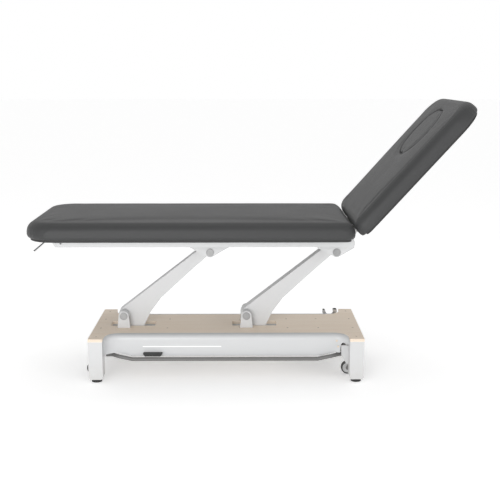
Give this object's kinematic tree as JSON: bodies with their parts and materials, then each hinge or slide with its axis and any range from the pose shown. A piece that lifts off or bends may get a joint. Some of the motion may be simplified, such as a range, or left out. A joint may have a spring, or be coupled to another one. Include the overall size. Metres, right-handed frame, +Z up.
{
  "type": "medical exam table",
  "caption": "Height-adjustable exam table with a two-section padded top, parallel lifting arms, timber-decked steel base, foot bars and retractable castors.",
  "frame": {"origin": "on the floor, under the middle of the table's overall box with the backrest raised", "axes": "+X towards the head end, +Y towards the far side, +Z up"},
  "size_m": [1.7756, 0.62, 1.1281],
  "materials": {
    "pad": "charcoal coated upholstery fabric with a fine leather grain",
    "white_paint": "smooth white powder coat",
    "cover_white": "satin white plastic",
    "deck_wood": "pale beech plywood, matt lacquer",
    "board_black": "plywood stained dark",
    "bar_grey": "grey powder coat",
    "cap_grey": "grey moulded plastic",
    "black_plastic": "black moulded plastic",
    "steel": "bright zinc plated steel",
    "chrome": "polished rod",
    "bronze": "sintered bronze",
    "motor_paint": "dark grey paint",
    "wheel": "grey rubber tyre on a nylon hub",
    "foot_rubber": "black moulded rubber"
  },
  "bodies": {
    "base": {"chassis_frame": "white_paint", "foot_end_frame": "white_paint", "head_end_frame": "white_paint", "pivot_ears": "white_paint", "deck_board": "deck_wood", "deck_and_cover_screws": "steel", "lower_pivot_pins": "steel", "side_cover_near": "cover_white", "side_cover_far": "cover_white", "foot_switches": "black_plastic", "control_box": "black_plastic", "power_inlet": "black_plastic", "lower_pin_caps": "cap_grey", "castor_guides": "bar_grey", "actuator_bracket": "steel", "actuator_tube": "steel", "actuator_gearbox": "motor_paint", "actuator_motor": "motor_paint"},
    "head_arm": {"head_arm": "white_paint", "head_arm_bushes": "bronze", "actuator_rod_pin": "steel"},
    "foot_arm": {"foot_arm": "white_paint", "foot_arm_bushes": "bronze"},
    "actuator_rod": {"actuator_rod": "chrome"},
    "upper_frame": {"side_rails": "white_paint", "cross_members": "white_paint", "pivot_gussets": "white_paint", "upper_pivot_pins": "steel", "spring_anchor_rod": "steel", "hinge_pins": "steel", "seat_screws": "steel", "upper_pin_caps": "cap_grey", "seat_board": "board_black", "seat_pad": "pad", "paper_roll_rod": "chrome", "roll_rod_plug": "black_plastic"},
    "backrest": {"backrest_frame": "white_paint", "backrest_board": "board_black", "backrest_pad": "pad"},
    "face_plug": {"face_plug": "pad"},
    "release_lever": {"release_lever": "bar_grey"},
    "gas_cylinder": {"gas_cylinder": "motor_paint"},
    "gas_rod": {"gas_rod": "chrome"},
    "foot_bar_near": {"foot_bar_near": "bar_grey"},
    "foot_bar_far": {"foot_bar_far": "bar_grey"},
    "castor_bar_foot": {"castor_bar_foot": "bar_grey"},
    "castor_bar_head": {"castor_bar_head": "bar_grey"},
    "castor_pedal": {"castor_pedal": "bar_grey"},
    "castor_fork_foot_near": {"castor_fork_foot_near": "bar_grey"},
    "castor_wheel_foot_near": {"castor_wheel_foot_near": "wheel"},
    "leveller_foot_near": {"leveller_foot_near": "foot_rubber"},
    "castor_fork_foot_far": {"castor_fork_foot_far": "bar_grey"},
    "castor_wheel_foot_far": {"castor_wheel_foot_far": "wheel"},
    "leveller_foot_far": {"leveller_foot_far": "foot_rubber"},
    "castor_fork_head_near": {"castor_fork_head_near": "bar_grey"},
    "castor_wheel_head_near": {"castor_wheel_head_near": "wheel"},
    "leveller_head_near": {"leveller_head_near": "foot_rubber"},
    "castor_fork_head_far": {"castor_fork_head_far": "bar_grey"},
    "castor_wheel_head_far": {"castor_wheel_head_far": "wheel"},
    "leveller_head_far": {"leveller_head_far": "foot_rubber"}
  },
  "joints": [
    {"name": "lift", "type": "hinge", "parent": "base", "child": "head_arm", "pos_m": [-0.00733, 0, 0.234], "axis": [0, -1, 0], "range_deg": [-26, 36]},
    {"name": "foot_arm_pivot", "type": "hinge", "parent": "base", "child": "foot_arm", "pos_m": [-0.52233, 0, 0.234], "axis": [0, -1, 0], "range_deg": [-26, 36]},
    {"name": "upper_level", "type": "hinge", "parent": "head_arm", "child": "upper_frame", "pos_m": [0.35999, 0, 0.51995], "axis": [0, -1, 0], "range_deg": [-36, 26]},
    {"name": "actuator_rod_pivot", "type": "hinge", "parent": "head_arm", "child": "actuator_rod", "pos_m": [-0.01561, 0, 0.13936], "axis": [0, -1, 0], "range_deg": [-36, 26]},
    {"name": "backrest_tilt", "type": "hinge", "parent": "upper_frame", "child": "backrest", "pos_m": [0.43067, 0, 0.6092], "axis": [0, -1, 0], "range_deg": [-48, 0]},
    {"name": "spring_lower_pivot", "type": "hinge", "parent": "upper_frame", "child": "gas_cylinder", "pos_m": [0.39567, 0.09, 0.54], "axis": [0, -1, 0], "range_deg": [-33.13, 0]},
    {"name": "spring_upper_pivot", "type": "hinge", "parent": "backrest", "child": "gas_rod", "pos_m": [0.55556, 0.09, 0.65823], "axis": [0, -1, 0], "range_deg": [0, 14.97]},
    {"name": "face_plug_lift", "type": "slide", "parent": "backrest", "child": "face_plug", "axis": [-0.7431, 0, 0.6691], "range_m": [0, 0.12]},
    {"name": "release_lever_pull", "type": "hinge", "parent": "backrest", "child": "release_lever", "pos_m": [0.57356, 0.1335, 0.72276], "axis": [0, -1, 0], "range_deg": [0, 6], "stiffness_Nm_per_rad": 6},
    {"name": "foot_bar_near_press", "type": "hinge", "parent": "base", "child": "foot_bar_near", "pos_m": [-0.08933, -0.165, 0.097], "axis": [1, 0, 0], "range_deg": [-4, 5], "stiffness_Nm_per_rad": 40, "springref_deg": -0.63},
    {"name": "foot_bar_far_press", "type": "hinge", "parent": "base", "child": "foot_bar_far", "pos_m": [-0.08933, 0.165, 0.097], "axis": [-1, 0, 0], "range_deg": [-4, 5], "stiffness_Nm_per_rad": 40, "springref_deg": -0.63},
    {"name": "castor_head_drop", "type": "slide", "parent": "base", "child": "castor_bar_head", "axis": [0, 0, -1], "range_m": [0, 0.016]},
    {"name": "castor_foot_drop", "type": "slide", "parent": "base", "child": "castor_bar_foot", "axis": [0, 0, -1], "range_m": [0, 0.016]},
    {"name": "castor_pedal_tilt", "type": "hinge", "parent": "base", "child": "castor_pedal", "pos_m": [0.36267, 0.191, 0.15], "axis": [0, -1, 0], "range_deg": [0, 18]},
    {"name": "castor_swivel_foot_near", "type": "hinge", "parent": "castor_bar_foot", "child": "castor_fork_foot_near", "pos_m": [-0.61833, -0.131, 0.075], "axis": [0, 0, 1], "continuous": true},
    {"name": "castor_roll_foot_near", "type": "hinge", "parent": "castor_fork_foot_near", "child": "castor_wheel_foot_near", "pos_m": [-0.64433, -0.131, 0.03], "axis": [0, 1, 0], "continuous": true},
    {"name": "leveller_foot_near_screw", "type": "slide", "parent": "base", "child": "leveller_foot_near", "axis": [0, 0, -1], "range_m": [0, 0.012]},
    {"name": "castor_swivel_foot_far", "type": "hinge", "parent": "castor_bar_foot", "child": "castor_fork_foot_far", "pos_m": [-0.61833, 0.131, 0.075], "axis": [0, 0, 1], "continuous": true},
    {"name": "castor_roll_foot_far", "type": "hinge", "parent": "castor_fork_foot_far", "child": "castor_wheel_foot_far", "pos_m": [-0.64433, 0.131, 0.03], "axis": [0, 1, 0], "continuous": true},
    {"name": "leveller_foot_far_screw", "type": "slide", "parent": "base", "child": "leveller_foot_far", "axis": [0, 0, -1], "range_m": [0, 0.012]},
    {"name": "castor_swivel_head_near", "type": "hinge", "parent": "castor_bar_head", "child": "castor_fork_head_near", "pos_m": [0.43967, -0.131, 0.075], "axis": [0, 0, 1], "continuous": true},
    {"name": "castor_roll_head_near", "type": "hinge", "parent": "castor_fork_head_near", "child": "castor_wheel_head_near", "pos_m": [0.41367, -0.131, 0.03], "axis": [0, 1, 0], "continuous": true},
    {"name": "leveller_head_near_screw", "type": "slide", "parent": "base", "child": "leveller_head_near", "axis": [0, 0, -1], "range_m": [0, 0.012]},
    {"name": "castor_swivel_head_far", "type": "hinge", "parent": "castor_bar_head", "child": "castor_fork_head_far", "pos_m": [0.43967, 0.131, 0.075], "axis": [0, 0, 1], "continuous": true},
    {"name": "castor_roll_head_far", "type": "hinge", "parent": "castor_fork_head_far", "child": "castor_wheel_head_far", "pos_m": [0.41367, 0.131, 0.03], "axis": [0, 1, 0], "continuous": true},
    {"name": "leveller_head_far_screw", "type": "slide", "parent": "base", "child": "leveller_head_far", "axis": [0, 0, -1], "range_m": [0, 0.012]}
  ],
  "couplings": [
    {"joint": "foot_arm_pivot", "follows": "lift", "ratio": 1},
    {"joint": "upper_level", "follows": "lift", "ratio": -1},
    {"joint": "actuator_rod_pivot", "follows": "lift", "ratio": -1},
    {"joint": "spring_lower_pivot", "follows": "backrest_tilt", "ratio": 0.68927},
    {"joint": "spring_upper_pivot", "follows": "backrest_tilt", "ratio": -0.31073},
    {"joint": "castor_foot_drop", "follows": "castor_head_drop", "ratio": 1},
    {"joint": "castor_pedal_tilt", "follows": "castor_head_drop", "rad_per_m": 19.633}
  ]
}
